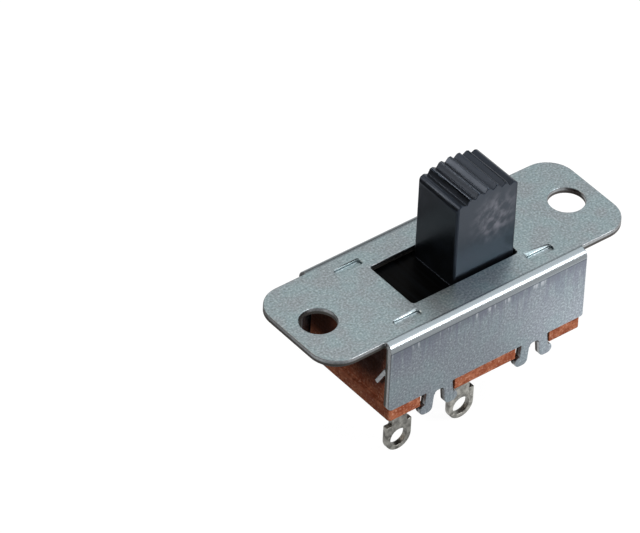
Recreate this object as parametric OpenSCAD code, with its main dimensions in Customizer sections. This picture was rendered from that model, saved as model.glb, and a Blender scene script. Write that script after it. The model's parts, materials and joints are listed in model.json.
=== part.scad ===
// Panel-mounted slide switch, single pole, two solder lugs.
// The origin is the centre of the mounting plate's top face, the face that lies
// against the panel. +X runs along the slide, +Z points out through the panel.

/* [Mounting plate] */
// Distance between the two mounting holes
hole_pitch = 28.6; // [28:0.1:34]
// Diameter of the mounting holes
hole_d = 3.5; // [3:0.1:4.2]
// Distance from a hole's centre to the end of its ear
ear_end = 3.15; // [2.9:0.05:5]
// Radius of the ears' corners
ear_corner_r = 2.8; // [0.5:0.1:2.9]
// Thickness of the sheet steel
sheet_t = 0.7; // [0.5:0.05:0.8]

/* [Folded walls] */
// Width over the two folded walls
frame_w = 13.2; // [12.8:0.1:15]
// Length of the folded walls
wall_l = 22.6; // [22.2:0.1:23.2]
// Height of the walls, from the plate's top face to their lower edge
wall_h = 7.7; // [7.2:0.1:9]
// Outer radius of the folds
bend_r = 0.85; // [0.82:0.01:1.1]
// Radius of a wall's lower corner at the end with the locking tab
tab_corner_r = 0.6; // [0.1:0.05:1]
// Radius of its lower corner at the other end
wall_corner_r = 0.25; // [0.1:0.05:1]

/* [Slot] */
// Length of the slot for the knob
slot_l = 12.1; // [11.6:0.1:12.5]
// Width of the slot for the knob
slot_w = 6.2; // [5.6:0.1:6.6]
// Radius of the slot's corners
slot_corner_r = 0.35; // [0.1:0.05:0.8]

/* [Guide dents] */
// Length of each pressed dent that guides the slide plate
dent_l = 2.8; // [1.5:0.1:3.2]
// Width of each dent
dent_w = 0.62; // [0.3:0.02:0.7]
// Depth of each dent
dent_depth = 0.3; // [0.15:0.05:0.4]
// Distance from the switch's centre to a dent's middle, along X
dent_x = 7.6; // [7:0.1:8.4]

/* [Clinch lugs] */
// Distance between the two pairs of lugs on a wall
lug_pitch = 11; // [9:0.1:12]
// How far the middle of the two pairs lies from the wall's middle, away from its tab
lug_offset = 0.15; // [0:0.05:0.2]
// Width of one lug
lug_w = 1; // [0.8:0.05:1.2]
// Gap between the two lugs of a pair
lug_gap = 1; // [0.8:0.05:1.2]
// How far the metal between the two lugs of a pair reaches below the wall's edge
lug_web = 0.3; // [0.1:0.05:0.6]
// Radius in the upper corners of the gap between two lugs
lug_gap_r = 0.3; // [0.1:0.05:0.35]
// How far a lug leans outwards on its way down
lug_lean = 0.2; // [0.1:0.05:0.3]
// Radius of a lug's rounded toe
toe_r = 0.55; // [0.45:0.05:0.7]
// How far the middle of the toe's outer end lies beyond the leaning leg's edge
toe_reach = -0.1; // [-0.1:0.05:0.2]
// Clearance between a toe and the base it grips
clinch_gap = 0.05; // [0.02:0.01:0.1]
// Clearance between a leaning leg and the nearest end of its notch in the base
notch_gap = 0.1; // [0.05:0.05:0.2]

/* [Locking tabs] */
// Depth below the plate at which a tab leaves its wall
tab_z = 3.3; // [2.5:0.1:4]
// Length of a tab
tab_l = 2.45; // [2:0.05:3.2]
// Width of a tab
tab_w = 0.45; // [0.4:0.05:0.9]
// Angle of a tab below the horizontal
tab_angle = 60; // [45:1:70]
// Clearance between a tab and the base's end
tab_gap = 0.3; // [0.05:0.05:0.4]

/* [Base] */
// How far the flange lies inside the walls' ends
flange_setback = 0.25; // [0:0.05:0.4]
// How far the flange lies inside the walls' outer faces, each side
flange_inset = 0.08; // [0:0.01:0.2]
// Thickness of the flange, which is also the floor
flange_h = 1.3; // [1.2:0.1:2]
// How far the raised housing lies inside the walls' ends
housing_setback = 0.7; // [0.5:0.05:0.8]
// Clearance between the housing and the steel walls, each side
housing_gap = 0.25; // [0.1:0.05:0.35]
// Radius of the base's upright corners
base_corner_r = 0.3; // [0.1:0.05:0.4]
// Depth of the clinch lugs' notches into the flange
notch_depth = 1.02; // [0.9:0.02:1.2]
// Depth of the two hollows for the detent ball
hollow_depth = 0.25; // [0.1:0.05:0.35]
// Radius of those hollows
hollow_r = 1.6; // [1.3:0.1:2]

/* [Knob] */
// Length of the knob along the slide
knob_l = 7; // [6:0.1:7.4]
// Height of the knob's crown above the plate
knob_h = 9; // [6:0.1:12]
// Clearance between the knob and each long side of the slot
knob_side_gap = 0.3; // [0.1:0.05:0.4]
// Clearance left at the slot's end when the knob is pushed home
knob_end_gap = 0.25; // [0.2:0.05:0.4]
// Radius of the crown along the slide
crown_r = 7.9; // [6:0.1:20]
// Radius between the crown and the knob's ends
shoulder_r = 0.85; // [0.3:0.05:1]
// Radius along the crown's two long edges
crown_edge_r = 0.15; // [0.1:0.05:0.6]
// Radius of the knob's upright edges
knob_edge_r = 0.25; // [0.1:0.05:0.5]
// Distance from one ridge to the next
ridge_pitch = 1.05; // [0.8:0.05:1.2]
// Number of grooves between the ridges
groove_count = 6; // [2:2:8]
// Depth of the grooves
groove_depth = 0.44; // [0.2:0.02:0.5]

/* [Slide plate and carriage] */
// How far the slide plate still covers the rim of the slot, at its ends
slide_over = 0.1; // [0.05:0.05:0.3]
// How far it covers the rim of the slot, at its sides
slide_side = 0.75; // [0.5:0.05:0.8]
// Thickness of that plate
slide_t = 1; // [0.8:0.05:1.2]
// Running clearance above and below the slide plate
slide_gap = 0.1; // [0.05:0.01:0.15]
// Clearance between the slide plate and the guide dents
guide_gap = 0.08; // [0.04:0.01:0.15]
// Wall left between the blade's pocket and the carriage's end
carriage_wall = 0.35; // [0.3:0.05:0.5]
// Clearance between the carriage and the cavity's ends when the knob is pushed home
carriage_end_gap = 0.3; // [0.2:0.05:0.5]
// Clearance between the carriage and the cavity's sides
carriage_gap = 0.2; // [0.1:0.05:0.3]
// Height of the carriage's underside above the floor
carriage_lift = 0.65; // [0.6:0.05:0.8]

/* [Contacts] */
// Distance from the centre terminal to the left one
terminal_pitch = 7.25; // [6.8:0.05:7.5]
// Distance of the row of contacts from the middle of the switch
contact_y = 1.6; // [1.5:0.05:1.8]
// Diameter of a contact's domed head
contact_d = 2.4; // [2:0.1:2.6]
// Thickness of the head's rim
contact_rim = 0.2; // [0.1:0.05:0.3]
// Height of the dome above the rim
contact_dome = 0.3; // [0.2:0.05:0.35]
// Diameter of the rivet's shank
shank_d = 1.2; // [1:0.1:1.4]
// Clearance around the shank in its holes
shank_gap = 0.03; // [0.01:0.01:0.06]
// Diameter of the closing head under the terminal
rivet_tail_d = 2; // [1.8:0.1:2.2]
// Height of the closing head
rivet_tail_h = 0.35; // [0.2:0.05:0.6]

/* [Bridging blade] */
// Thickness of the moving contact blade
blade_t = 0.4; // [0.3:0.05:0.5]
// Width of the blade
blade_w = 2.2; // [1.8:0.1:2.4]
// How far the blade's flat runs past each contact's middle
blade_over = 0.2; // [0:0.05:0.3]
// Length of each turned-up end, along X
blade_end_l = 0.4; // [0.2:0.05:0.4]
// Rise of each turned-up end
blade_end_h = 0.5; // [0.2:0.05:0.6]
// Running clearance between the blade and the domes
blade_gap = 0.05; // [0.02:0.01:0.1]
// Clearance around the blade in the carriage's pocket
pocket_gap = 0.15; // [0.05:0.05:0.2]

/* [Springs and ball] */
// Diameter of the detent ball
ball_d = 2.4; // [2.2:0.1:2.5]
// Distance of the ball from the middle of the switch
ball_y = 1.8; // [1.6:0.05:2.2]
// Clearance between the ball and its bore
ball_gap = 0.1; // [0.05:0.01:0.2]
// Height at which the ball clears the floor between the hollows
ball_lift = 0.03; // [0.01:0.01:0.1]
// Diameter of the spring wire
wire_d = 0.3; // [0.2:0.02:0.36]
// Outer diameter of the springs
spring_d = 2; // [1.8:0.1:2.1]
// Clearance between a spring and its bore
spring_gap = 0.15; // [0.05:0.05:0.2]
// Distance between the two contact springs
spring_pitch = 4.6; // [4:0.1:5]
// Depth of the spring bores' ends below the plate's top face
bore_top = 2.6; // [2.2:0.1:3]
// Number of turns in a spring
spring_turns = 5.5; // [4:0.5:6]
// Clearance between a spring's ends and their seats
seat_gap = 0.02; // [0.01:0.01:0.05]

/* [Solder lugs] */
// Thickness of the terminals
terminal_t = 0.6; // [0.4:0.05:0.7]
// Width of a terminal's eye
eye_w = 2.85; // [2.6:0.05:3.2]
// Diameter of the hole for the wire
eye_d = 1.85; // [1.4:0.05:2]
// Distance from the base's underside to the middle of the wire hole
eye_drop = 5.85; // [4.5:0.05:8]
// Height of the eye's square shoulders above the middle of the wire hole
shoulder_h = 1.67; // [1.2:0.05:2]
// Width of the neck
neck_w = 1.7; // [1.4:0.1:2.2]
// Outer radius of the bend between foot and neck
foot_bend_r = 0.9; // [0.75:0.05:1.1]
// Distance from the row of contacts to the middle of the neck's thickness
neck_offset = 1.7; // [1.5:0.05:1.8]
// Width of the rounded foot
foot_w = 2.5; // [2.3:0.1:2.8]

/* [Hidden] */
$fn = 96;

// A cut runs this far past the faces it opens
past = 1;

// Plate and walls
plate_l = hole_pitch + 2 * ear_end;
flat_w = frame_w - 2 * bend_r;
wall_inner = frame_w / 2 - sheet_t;
half_reach = frame_w / 2 + past;

// Slide
slide_w = slot_w + 2 * slide_side;
slide_top = -sheet_t - slide_gap;
slide_bottom = slide_top - slide_t;
travel = slot_l - knob_l - 2 * knob_end_gap;
rest_x = travel / 2;
slide_l = slot_l + travel + 2 * slide_over;
dent_y = slide_w / 2 + guide_gap;

// Base
floor_z = -wall_h;
base_bottom = floor_z - flange_h;
housing_w = 2 * (wall_inner - housing_gap);
housing_l = wall_l - 2 * housing_setback;
flange_w = frame_w - 2 * flange_inset;
flange_l = wall_l - 2 * flange_setback;
notch_l = lug_gap + 2 * (lug_w + lug_lean + lug_offset + notch_gap);
end_wall_top = slide_bottom - slide_gap;
rim_w = 2 * (dent_y + dent_w + guide_gap);

// Contacts and blade
dome_top = floor_z + contact_rim + contact_dome;
blade_z = dome_top + blade_gap;
blade_left = -terminal_pitch + travel / 2 - blade_over;
blade_right = travel / 2 + blade_over;
blade_mid = (blade_left + blade_right) / 2;
pocket_roof = blade_z + blade_t + blade_end_h + pocket_gap;

// Carriage and its cavity
carriage_w = slide_w;
carriage_l = 2 * (max(-blade_left, blade_right) + blade_end_l + pocket_gap + carriage_wall);
carriage_bottom = floor_z + carriage_lift;
cavity_w = carriage_w + 2 * carriage_gap;
cavity_l = carriage_l + travel + 2 * carriage_end_gap;

// Springs and ball
ball_z = floor_z + ball_lift + ball_d / 2;
coil_r = (spring_d - wire_d) / 2;
ball_seat = ball_d / 2 + wire_d / 2 + seat_gap;
detent_spring_z = ball_z + sqrt(pow(ball_seat, 2) - pow(coil_r, 2));

// Terminals
neck_y = -contact_y - neck_offset;
foot_bottom = base_bottom - terminal_t;
eye_z = base_bottom - eye_drop;

steel = "#9aa5a8";
phenolic = "#8a4a30";
moulded_black = "#26282b";
tinned_brass = "#a9a594";
silver = "#cfcfca";
copper = "#b9824f";
spring_steel = "#8f9296";

// A rectangle of size l by w with its corners rounded to radius r
module rounded_rect(l, w, r) {
    square([l - 2 * r, w], center = true);
    square([l, w - 2 * r], center = true);
    for (sx = [-1, 1], sy = [-1, 1])
        translate([sx * (l / 2 - r), sy * (w / 2 - r)]) circle(r);
}

// Draws its 2D children, given in X and Z, as a wall of thickness t about y = 0
module stand(t) {
    rotate([90, 0, 0]) linear_extrude(t, center = true) children();
}

// The folded section, seen along X: a plate w wide with a wall h high at each side
module channel_section(w, h, r) {
    translate([-w / 2, -h]) square([w, h - r]);
    translate([-w / 2 + r, -h]) square([w - 2 * r, h]);
    for (s = [-1, 1])
        translate([s * (w / 2 - r), -r]) circle(r);
}

// The folded section carried along X, h high and l long
module channel(l, h) {
    rotate([90, 0, 90]) linear_extrude(l, center = true) difference() {
        channel_section(frame_w, h, bend_r);
        translate([0, -sheet_t])
            channel_section(2 * wall_inner, h + past, bend_r - sheet_t);
    }
}

// One clinch lug: a leg that leans outwards and a rounded toe, x measured from the pair's middle
module lug_outline() {
    toe_z = base_bottom - clinch_gap - toe_r;
    inner = lug_gap / 2;
    outer = inner + lug_w;
    polygon([
        [inner, floor_z + past], [outer, floor_z + past], [outer, floor_z],
        [outer + lug_lean, toe_z], [inner + lug_lean, toe_z], [inner, floor_z]
    ]);
    toe_out = outer + lug_lean + toe_reach;
    toe_in = inner + lug_lean + toe_r;
    for (x = [toe_in, toe_out])
        translate([x, toe_z]) circle(toe_r);
    translate([toe_in, toe_z - toe_r]) square([toe_out - toe_in, 2 * toe_r]);
}

// The metal that closes the gap between two lugs at its top, with rounded corners below
module gap_outline() {
    web_z = floor_z - lug_web;
    half = lug_gap / 2 + lug_lean / 2;
    translate([-half, web_z]) square([2 * half, lug_web + past]);
    difference() {
        translate([-half, web_z - lug_gap_r]) square([2 * half, lug_gap_r]);
        translate([-(lug_gap / 2 - lug_gap_r), web_z - 2 * lug_gap_r])
            square([lug_gap - 2 * lug_gap_r, 2 * lug_gap_r]);
        for (s = [-1, 1])
            translate([s * (lug_gap / 2 - lug_gap_r), web_z - lug_gap_r]) circle(lug_gap_r);
    }
}

// Half of a wall, up to its end with a lower corner of radius r
module half_wall(r) {
    translate([0, floor_z + r]) square([wall_l / 2, wall_h - r]);
    translate([0, floor_z]) square([wall_l / 2 - r, wall_h]);
    translate([wall_l / 2 - r, floor_z + r]) circle(r);
}

// A wall as cut from the sheet, its tab's end at the left: rounded corners, two pairs of lugs
module wall_outline() {
    half_wall(wall_corner_r);
    mirror([1, 0]) half_wall(tab_corner_r);
    for (x = [-lug_pitch / 2, lug_pitch / 2])
        translate([x + lug_offset, 0]) {
            for (s = [0, 1]) mirror([s, 0]) lug_outline();
            gap_outline();
        }
}

// Draws its children at the four pressed dents
module at_dents() {
    for (sx = [-1, 1], sy = [-1, 1])
        translate([sx * dent_x, sy * (dent_y + dent_w / 2), 0]) children();
}

// A tab bent inwards from a wall's end, leaning down over the end of the base
module locking_tab() {
    tab_t = (wall_l - housing_l) / 2 - tab_gap;
    translate([-wall_l / 2, -wall_inner, -tab_z])
        rotate([-tab_angle, 0, 0])
            translate([0, -tab_w / 2 / tan(tab_angle), -tab_w / 2])
                cube([tab_t, tab_l, tab_w]);
}

module mounting_frame() {
    color(steel) difference() {
        union() {
            translate([0, 0, -sheet_t]) linear_extrude(sheet_t)
                rounded_rect(plate_l, flat_w, ear_corner_r);
            intersection() {
                channel(wall_l, wall_h + 2 * flange_h + 2 * toe_r);
                for (a = [0, 180])
                    rotate([0, 0, a]) translate([0, -half_reach / 2, 0])
                        stand(half_reach) wall_outline();
            }
            at_dents() translate([-dent_l / 2, -dent_w / 2, -sheet_t - dent_depth])
                cube([dent_l, dent_w, sheet_t]);
            for (a = [0, 180]) rotate([0, 0, a]) locking_tab();
        }
        for (s = [-1, 1])
            translate([s * hole_pitch / 2, 0, -sheet_t - past])
                cylinder(d = hole_d, h = sheet_t + 2 * past);
        translate([0, 0, -sheet_t - past]) linear_extrude(sheet_t + 2 * past)
            rounded_rect(slot_l, slot_w, slot_corner_r);
        at_dents() translate([-dent_l / 2, -dent_w / 2, -dent_depth])
            cube([dent_l, dent_w, past]);
    }
}

module base_housing() {
    color(phenolic) difference() {
        union() {
            translate([0, 0, base_bottom]) linear_extrude(flange_h)
                rounded_rect(flange_l, flange_w, base_corner_r);
            translate([0, 0, floor_z]) linear_extrude(wall_h - sheet_t - slide_gap / 2)
                rounded_rect(housing_l, housing_w, base_corner_r);
        }
        translate([-housing_l / 2 - past, -rim_w / 2, end_wall_top])
            cube([housing_l + 2 * past, rim_w, wall_h]);
        translate([-cavity_l / 2, -cavity_w / 2, floor_z])
            cube([cavity_l, cavity_w, wall_h]);
        for (x = [-lug_pitch / 2, lug_pitch / 2], s = [0, 1])
            mirror([0, s]) translate([x - notch_l / 2, flange_w / 2 - notch_depth, base_bottom - past])
                cube([notch_l, notch_depth + past, flange_h + past]);
        for (x = [-terminal_pitch, 0])
            translate([x, -contact_y, base_bottom - past])
                cylinder(d = shank_d + 2 * shank_gap, h = flange_h + 2 * past);
        for (x = [-rest_x, rest_x])
            translate([x, ball_y, floor_z + hollow_r - hollow_depth]) sphere(hollow_r);
    }
}

// The knob seen along Y: upright ends, rounded shoulders, grooves square to the crown
module knob_outline(low) {
    crown_z = knob_h - crown_r;
    shoulder_x = knob_l / 2 - shoulder_r;
    shoulder_z = crown_z + sqrt(pow(crown_r - shoulder_r, 2) - pow(shoulder_x, 2));
    difference() {
        union() {
            intersection() {
                translate([-shoulder_x, low]) square([2 * shoulder_x, knob_h - low]);
                translate([0, crown_z]) circle(crown_r, $fn = 256);
            }
            translate([-knob_l / 2, low]) square([knob_l, shoulder_z - low]);
            for (s = [-1, 1]) translate([s * shoulder_x, shoulder_z]) circle(shoulder_r);
        }
        step = ridge_pitch / crown_r * 180 / PI;
        for (i = [0 : groove_count - 1])
            translate([0, crown_z]) rotate((i - (groove_count - 1) / 2) * step)
                translate([0, crown_r - groove_depth]) rotate(45) square(2 * groove_depth);
    }
}

// The knob: its side outline, its plan and a disc whose rim rounds the crown's long edges
module knob() {
    knob_w = slot_w - 2 * knob_side_gap;
    low = slide_bottom;
    intersection() {
        stand(knob_w + past) knob_outline(low);
        translate([0, 0, low]) linear_extrude(knob_h - low + past)
            rounded_rect(knob_l, knob_w, knob_edge_r);
        translate([0, 0, knob_h - crown_r]) rotate([90, 0, 0]) rotate_extrude($fn = 256)
            intersection() {
                rounded_rect(2 * crown_r, knob_w, crown_edge_r);
                translate([0, -knob_w]) square([crown_r, 2 * knob_w]);
            }
    }
}

module slider_knob() {
    bore_r = spring_d / 2 + spring_gap;
    color(moulded_black) translate([rest_x, 0, 0]) difference() {
        union() {
            knob();
            translate([0, 0, slide_bottom]) linear_extrude(slide_t)
                rounded_rect(slide_l, slide_w, knob_edge_r);
            translate([0, 0, carriage_bottom]) linear_extrude(slide_top - carriage_bottom)
                rounded_rect(carriage_l, carriage_w, knob_edge_r);
        }
        translate([
            blade_left - blade_end_l - pocket_gap,
            -contact_y - blade_w / 2 - pocket_gap,
            carriage_bottom - past
        ])
            cube([
                blade_right - blade_left + 2 * (blade_end_l + pocket_gap),
                blade_w + 2 * pocket_gap,
                pocket_roof - carriage_bottom + past
            ]);
        for (s = [-1, 1])
            translate([blade_mid + s * spring_pitch / 2, -contact_y, carriage_bottom - past])
                cylinder(r = bore_r, h = -bore_top - carriage_bottom + past);
        translate([0, ball_y, carriage_bottom - past])
            cylinder(d = ball_d + 2 * ball_gap, h = -bore_top - carriage_bottom + past);
    }
}

// A solder lug: a foot under the base, bent down into a neck with a round eye
module terminal(x) {
    bend_y = neck_y - terminal_t / 2 + foot_bend_r;
    bend_z = base_bottom - foot_bend_r;
    color(tinned_brass) translate([x, 0, 0]) difference() {
        union() {
            translate([0, 0, foot_bottom]) linear_extrude(terminal_t) {
                translate([0, -contact_y]) circle(d = foot_w);
                translate([-neck_w / 2, bend_y]) square([neck_w, -contact_y - bend_y]);
            }
            intersection() {
                translate([0, bend_y, bend_z]) rotate([0, 90, 0]) difference() {
                    cylinder(r = foot_bend_r, h = neck_w, center = true);
                    cylinder(r = foot_bend_r - terminal_t, h = neck_w + past, center = true);
                }
                translate([-neck_w, bend_y - foot_bend_r, bend_z])
                    cube([2 * neck_w, foot_bend_r, foot_bend_r]);
            }
            translate([0, neck_y, 0]) stand(terminal_t) {
                translate([-neck_w / 2, eye_z]) square([neck_w, bend_z - eye_z]);
                translate([-eye_w / 2, eye_z]) square([eye_w, shoulder_h]);
                translate([0, eye_z]) circle(d = eye_w);
            }
        }
        translate([0, neck_y, eye_z]) rotate([90, 0, 0])
            cylinder(d = eye_d, h = terminal_t + past, center = true);
        translate([0, -contact_y, foot_bottom - past])
            cylinder(d = shank_d + 2 * shank_gap, h = terminal_t + 2 * past);
    }
}

// A contact rivet: domed head on the floor, shank through base and foot, closing head below
module contact_rivet(x) {
    dome_r = (pow(contact_d / 2, 2) + pow(contact_dome, 2)) / (2 * contact_dome);
    rim_z = floor_z + contact_rim;
    color(silver) translate([x, -contact_y, 0]) rotate_extrude() {
        translate([0, floor_z]) square([contact_d / 2, contact_rim]);
        intersection() {
            translate([0, dome_top - dome_r]) circle(dome_r, $fn = 256);
            translate([0, rim_z]) square([contact_d / 2, contact_dome]);
        }
        translate([0, foot_bottom]) square([shank_d / 2, floor_z - foot_bottom]);
        translate([0, foot_bottom - rivet_tail_h]) square([rivet_tail_d / 2, rivet_tail_h]);
    }
}

// The blade that joins the two contacts when the knob is at the left
module bridge_contact() {
    color(copper) translate([rest_x, -contact_y, 0]) stand(blade_w) polygon([
        [blade_left, blade_z], [blade_right, blade_z],
        [blade_right + blade_end_l, blade_z + blade_end_h],
        [blade_right + blade_end_l, blade_z + blade_end_h + blade_t],
        [blade_right, blade_z + blade_t], [blade_left, blade_z + blade_t],
        [blade_left - blade_end_l, blade_z + blade_end_h + blade_t],
        [blade_left - blade_end_l, blade_z + blade_end_h]
    ]);
}

// A coil spring between two heights. The wire's middle runs on a helix of radius coil_r:
// closed for most of a turn at each end, evenly spaced between.
module coil_spring(z_low, z_high) {
    sides = 8;
    rings = 14 * spring_turns;
    closed = 0.8;
    closed_rise = 1.1 * wire_d * closed;
    low = z_low + wire_d / 2;
    high = z_high - wire_d / 2;
    function height(turn) = lookup(turn, [
        [0, low], [closed, low + closed_rise],
        [spring_turns - closed, high - closed_rise], [spring_turns, high]
    ]);
    points = [
        for (i = [0 : rings], k = [0 : sides - 1])
            let (turn = spring_turns * i / rings, a = 360 * turn, b = 360 * k / sides,
                 r = coil_r + wire_d / 2 * cos(b))
                [r * cos(a), r * sin(a), height(turn) + wire_d / 2 * sin(b)]
    ];
    sleeve = [
        for (i = [0 : rings - 1], k = [0 : sides - 1])
            let (n = (k + 1) % sides, a = i * sides, b = a + sides)
                [a + k, b + k, b + n, a + n]
    ];
    caps = [
        [for (k = [0 : sides - 1]) k],
        [for (k = [sides - 1 : -1 : 0]) rings * sides + k]
    ];
    color(spring_steel) polyhedron(points, concat(sleeve, caps));
}

module contact_spring(side) {
    translate([rest_x + blade_mid + side * spring_pitch / 2, -contact_y, 0])
        coil_spring(blade_z + blade_t + seat_gap, -bore_top - seat_gap);
}

module detent_ball() {
    color(spring_steel) translate([rest_x, ball_y, ball_z]) sphere(d = ball_d);
}

module detent_spring() {
    translate([rest_x, ball_y, 0])
        coil_spring(detent_spring_z - wire_d / 2, -bore_top - seat_gap);
}

mounting_frame();
base_housing();
slider_knob();
terminal(-terminal_pitch);  // terminal_left
terminal(0);  // terminal_centre
contact_rivet(-terminal_pitch);  // contact_rivet_left
contact_rivet(0);  // contact_rivet_centre
bridge_contact();
contact_spring(-1);  // contact_spring_left
contact_spring(1);  // contact_spring_right
detent_ball();
detent_spring();
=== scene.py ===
# %% [markdown]
# # A panel-mounted slide switch
#
# The real object is a small slide switch: a folded, zinc-plated steel frame with two ears,
# a ridged black knob that slides in a slot of the frame, a moulded brown base clinched
# into the frame from below, and two solder lugs.
#
# The construction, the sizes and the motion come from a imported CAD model, which is loaded
# first and never moved. This file gives that model its looks: soft edges, true round wire,
# and a procedural finish on every surface.

# %% The fixed frame
import json
import math

import bmesh
import bpy
import numpy as np
from mathutils import Matrix, Vector

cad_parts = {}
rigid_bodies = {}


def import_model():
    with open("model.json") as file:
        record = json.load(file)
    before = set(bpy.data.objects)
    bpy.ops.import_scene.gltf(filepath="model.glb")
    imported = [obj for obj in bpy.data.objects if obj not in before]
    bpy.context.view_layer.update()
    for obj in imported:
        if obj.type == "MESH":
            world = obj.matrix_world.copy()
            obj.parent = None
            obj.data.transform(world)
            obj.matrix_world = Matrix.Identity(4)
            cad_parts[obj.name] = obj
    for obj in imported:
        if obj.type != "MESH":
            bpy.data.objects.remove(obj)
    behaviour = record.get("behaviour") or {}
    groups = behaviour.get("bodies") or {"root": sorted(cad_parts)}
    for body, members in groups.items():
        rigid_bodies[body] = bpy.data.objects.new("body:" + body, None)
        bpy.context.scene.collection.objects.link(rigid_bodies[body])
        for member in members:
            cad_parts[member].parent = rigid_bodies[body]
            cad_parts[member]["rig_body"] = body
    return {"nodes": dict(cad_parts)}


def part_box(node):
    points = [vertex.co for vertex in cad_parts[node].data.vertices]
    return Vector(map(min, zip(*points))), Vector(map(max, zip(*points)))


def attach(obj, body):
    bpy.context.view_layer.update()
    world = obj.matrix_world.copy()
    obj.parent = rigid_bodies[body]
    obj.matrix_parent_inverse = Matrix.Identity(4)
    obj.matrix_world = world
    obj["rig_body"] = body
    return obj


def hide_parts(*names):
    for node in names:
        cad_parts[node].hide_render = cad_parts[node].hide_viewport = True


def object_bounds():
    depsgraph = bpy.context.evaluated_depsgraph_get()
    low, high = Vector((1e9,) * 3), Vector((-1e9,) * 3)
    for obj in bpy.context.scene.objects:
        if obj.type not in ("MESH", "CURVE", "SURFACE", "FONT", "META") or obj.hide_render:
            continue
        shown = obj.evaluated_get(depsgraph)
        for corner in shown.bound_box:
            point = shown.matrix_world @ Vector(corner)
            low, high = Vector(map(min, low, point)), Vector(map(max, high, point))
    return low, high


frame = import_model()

CAD_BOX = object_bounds()
NODES = frame["nodes"]
print("CAD nodes:", ", ".join(sorted(NODES)))
print("CAD box:", CAD_BOX)

# %% [markdown]
# ## Units and colours
#
# Blender works in metres here, and a switch is measured in millimetres, so one constant
# turns the second into the first. Colours are written as sRGB hex values, as a paint chart
# gives them. Shaders want linear light, so one function turns them over.

# %% Units and colours
MM = 0.001


def linear(hex_colour):
    """An sRGB hex colour as linear RGBA.

    Each channel c from 0 to 1 becomes c / 12.92 below 0.04045, and
    ((c + 0.055) / 1.055) to the power 2.4 above it.
    """
    channels = [int(hex_colour[i:i + 2], 16) / 255 for i in (1, 3, 5)]
    light = [c / 12.92 if c < 0.04045 else ((c + 0.055) / 1.055) ** 2.4 for c in channels]
    return (*light, 1.0)


# %% [markdown]
# ### Shader nodes
#
# A material could be wired up by hand in the node editor, or with three or four lines for
# every node. Here one function adds a shader node with its settings and its links in a
# single call, which keeps each material readable from top to bottom. A pattern's scale
# follows from the size of its real repeat.

# %% Shader nodes
def settle(tree, node, **settings):
    """Gives a node its settings by name: its properties, and its inputs' values and links.

    An input goes by its identifier, with _ for a space. It is linked when it is given one
    output of a node, or a whole node, whose first live output then counts. A hex colour is
    turned linear, and any other value is set as it is.
    """
    inputs = {socket.identifier.replace(" ", "_"): socket for socket in node.inputs}
    for name, value in settings.items():
        if isinstance(value, bpy.types.Node):
            value = next(socket for socket in value.outputs if socket.enabled)
        if name not in inputs:
            setattr(node, name, value)
        elif isinstance(value, bpy.types.NodeSocket):
            tree.links.new(value, inputs[name])
        else:
            inputs[name].default_value = linear(value) if isinstance(value, str) else value
    return node


def add(tree, kind, **settings):
    """Adds one shader node of some kind to a tree, with its settings and its links."""
    return settle(tree, tree.nodes.new("ShaderNode" + kind), **settings)


def new_material(name, **values):
    """A node material with one Principled shader, whose plain values are set by name."""
    material = bpy.data.materials.new(name)
    material.use_nodes = True
    tree = material.node_tree
    print("finish:", name)
    return material, tree, settle(tree, tree.nodes["Principled BSDF"], **values)


def per(size_mm):
    """The scale of a pattern that repeats every size_mm, on coordinates in metres."""
    return 1 / (size_mm * MM)


# %% [markdown]
# ### Tones and bands
#
# A finish is never one colour. Zinc, phenolic and tin are all mottled, and they change where
# a tool or a finger has rubbed them. Two things come back in every finish here, so each has
# a helper of its own: a colour that turns into another one as a pattern rises, and a band
# that begins and ends softly. Both are built from the add function alone, and three short
# names stand for the settings that most of their nodes share.

# %% Tones and bands
SMOOTH = {"interpolation_type": "SMOOTHSTEP"}  # Map Range: ease in and out
PRODUCT = {"operation": "MULTIPLY"}            # Math: one value times the other
COLOURS = {"data_type": "RGBA"}                # Mix: colour B over colour A


def toned(tree, pattern, start, end, first, second, most=1.0):
    """A first colour that turns into a second one while a pattern goes from start to end.

    Each colour is a hex value or a node. The share of the second one ends at most.
    """
    share = add(tree, "MapRange", **SMOOTH, Value=pattern, From_Min=start, From_Max=end,
                To_Max=most)
    return add(tree, "Mix", **COLOURS, Factor_Float=share, A_Color=first, B_Color=second)


def band(tree, source, rise, fall, unit=MM):
    """1 between two places and 0 outside them, going up over rise and down over fall.

    Each of the two is a pair of places along the source, in rising order and in
    millimetres, unless another unit is given.
    """
    up = add(tree, "MapRange", **SMOOTH, Value=source, From_Min=rise[0] * unit,
             From_Max=rise[1] * unit)
    down = add(tree, "MapRange", **SMOOTH, Value=source, From_Min=fall[1] * unit,
               From_Max=fall[0] * unit)
    return add(tree, "Math", **PRODUCT, Value=up, Value_001=down)


# %% [markdown]
# ## The camera
#
# A product shot of something this small is taken from far away with a long lens, so the
# perspective is very weak. The camera looks down at the near left corner. Its place follows
# from an azimuth, an elevation and a distance around the point that it aims at, and a small
# roll turns the picture about the line of sight.

# %% Camera
CAMERA_AZIMUTH = math.radians(-39.84)
CAMERA_ELEVATION = math.radians(40.33)
CAMERA_ROLL = math.radians(2.62)
CAMERA_DISTANCE = 540.8 * MM
CAMERA_AIM = Vector((-8.95, 6.51, -0.86)) * MM
CAMERA_LENS = 340.5  # millimetres
CAMERA_SENSOR = 36   # width of the sensor, millimetres

back = Vector((
    math.sin(CAMERA_AZIMUTH) * math.cos(CAMERA_ELEVATION),
    -math.cos(CAMERA_AZIMUTH) * math.cos(CAMERA_ELEVATION),
    math.sin(CAMERA_ELEVATION),
))
level = Vector((math.cos(CAMERA_AZIMUTH), math.sin(CAMERA_AZIMUTH), 0))
upright = back.cross(level)
side = level * math.cos(CAMERA_ROLL) + upright * math.sin(CAMERA_ROLL)
over = upright * math.cos(CAMERA_ROLL) - level * math.sin(CAMERA_ROLL)

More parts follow.
